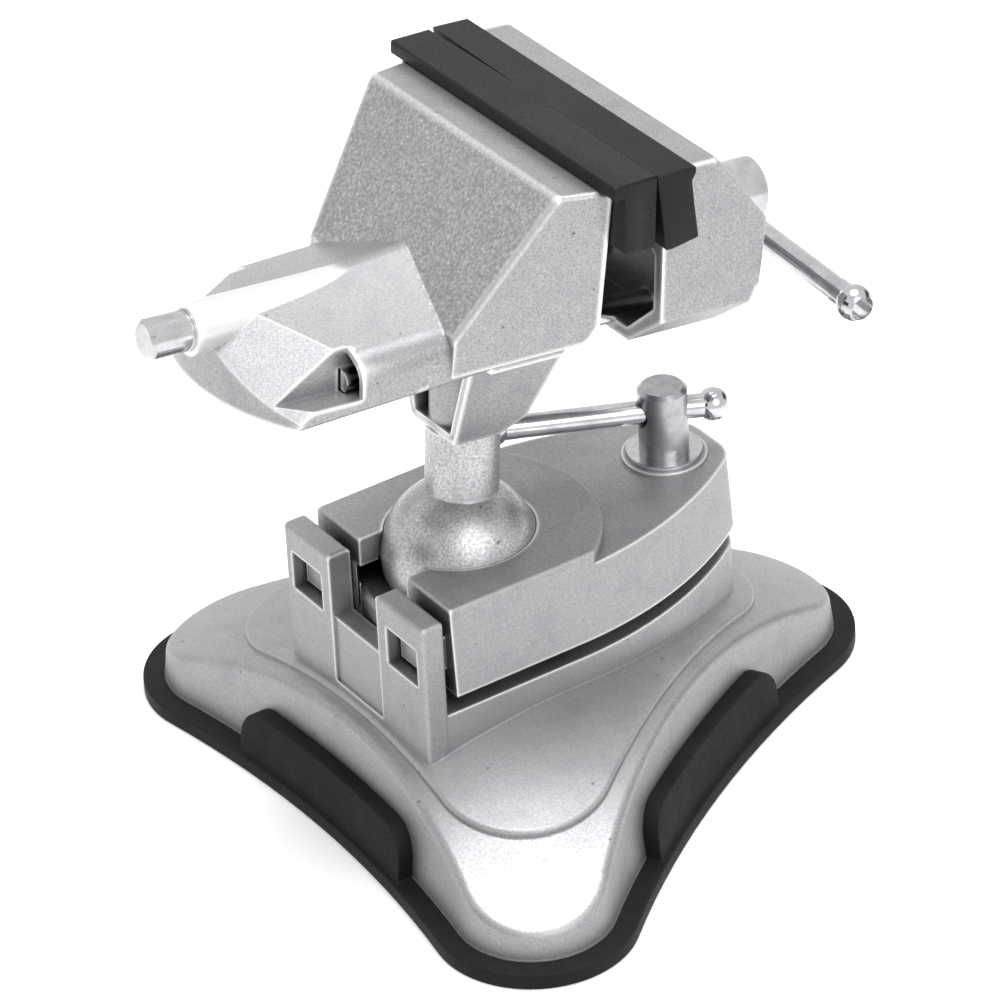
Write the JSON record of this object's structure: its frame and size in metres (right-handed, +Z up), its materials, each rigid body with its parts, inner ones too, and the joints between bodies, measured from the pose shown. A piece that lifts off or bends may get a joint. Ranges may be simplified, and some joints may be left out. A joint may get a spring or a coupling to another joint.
{
  "type": "suction base vise",
  "caption": "Small ball-joint vise on a three-lobed suction base, with rubber jaw caps, a clamp lever plate and a cam lever.",
  "frame": {"origin": "on the ground at the centre of the three lobes of the suction pad", "axes": "+Z up, +X along the clamp plate from the posts to the clamp screw, +Y to the left of that"},
  "size_m": [0.1538, 0.1456, 0.1436],
  "materials": {
    "cast_aluminium": null,
    "bright_steel": null,
    "plain_steel": null,
    "pad_rubber": null,
    "cap_rubber": null,
    "grip_plastic": null
  },
  "bodies": {
    "base": {"base_casting": "cast_aluminium", "suction_pad": "pad_rubber", "ball_cup": "bright_steel"},
    "puller": {"pad_plate": "plain_steel", "pull_stud": "plain_steel"},
    "suction_cam": {"cam_shaft": "plain_steel", "shaft_clip": "plain_steel", "suction_lever": "cast_aluminium", "lever_grip": "grip_plastic", "lever_screw": "plain_steel"},
    "clamp_plate": {"clamp_plate": "cast_aluminium"},
    "clamp_washer": {"clamp_washer": "plain_steel"},
    "clamp_screw": {"clamp_screw": "bright_steel"},
    "clamp_bar": {"clamp_bar": "bright_steel", "clamp_bar_knobs": "bright_steel"},
    "ball_stud": {"ball_stud": "bright_steel", "stud_clip": "plain_steel"},
    "vise_head": {"fixed_jaw": "cast_aluminium", "fixed_jaw_cap": "cap_rubber"},
    "moving_jaw": {"moving_jaw": "cast_aluminium", "moving_jaw_cap": "cap_rubber", "guide_rods": "bright_steel", "rod_pins": "plain_steel"},
    "lead_screw": {"lead_screw": "bright_steel", "spindle_clip": "plain_steel"},
    "spindle_bar": {"spindle_bar": "bright_steel", "spindle_bar_knobs": "bright_steel"}
  },
  "joints": [
    {"name": "lever_swing", "type": "hinge", "parent": "base", "child": "suction_cam", "pos_m": [0, 0, 0.014], "axis": [-0.5, -0.866, 0], "range_deg": [0, 165]},
    {"name": "puller_lift", "type": "slide", "parent": "base", "child": "puller", "axis": [0, 0, 1], "range_m": [0, 0.0029]},
    {"name": "clamp_lift", "type": "slide", "parent": "base", "child": "clamp_washer", "axis": [0, 0, 1], "range_m": [0, 0.0017]},
    {"name": "clamp_turn", "type": "hinge", "parent": "clamp_washer", "child": "clamp_screw", "pos_m": [0.03965, 0, 0.064], "axis": [0, 0, 1], "range_deg": [0, 468]},
    {"name": "clamp_bar_slide", "type": "slide", "parent": "clamp_screw", "child": "clamp_bar", "axis": [0.9426, -0.3246, -0.0785], "range_m": [0, 0.0245]},
    {"name": "plate_tilt", "type": "hinge", "parent": "base", "child": "clamp_plate", "pos_m": [-0.031, 0, 0.0493], "axis": [0, -1, 0], "range_deg": [0, 1.15]},
    {"name": "ball_tilt", "type": "hinge", "parent": "base", "child": "ball_stud", "pos_m": [-0.0093, 0, 0.05084], "axis": [0, 0.9988, -0.0496], "range_deg": [-76, 20]},
    {"name": "head_swivel", "type": "hinge", "parent": "ball_stud", "child": "vise_head", "pos_m": [-0.0093, 0, 0.05084], "axis": [0.1066, 0.0493, 0.9931], "continuous": true},
    {"name": "jaw_slide", "type": "slide", "parent": "vise_head", "child": "moving_jaw", "axis": [0.9937, -0.0401, -0.1047], "range_m": [0, 0.04]},
    {"name": "spindle_turn", "type": "hinge", "parent": "moving_jaw", "child": "lead_screw", "pos_m": [0.05314, 0.00085, 0.10733], "axis": [0.9937, -0.0401, -0.1047], "range_deg": [0, 11600]},
    {"name": "spindle_bar_slide", "type": "slide", "parent": "lead_screw", "child": "spindle_bar", "axis": [0.0411, 0.9991, 0.0075], "range_m": [0, 0.0366]}
  ],
  "couplings": [
    {"joint": "puller_lift", "follows": "lever_swing", "m_per_rad": 0.00095493},
    {"joint": "clamp_lift", "follows": "clamp_turn", "m_per_rad": 0.00019894},
    {"joint": "plate_tilt", "follows": "clamp_turn", "ratio": 0.0022527},
    {"joint": "spindle_turn", "follows": "jaw_slide", "rad_per_m": 5026.5}
  ]
}
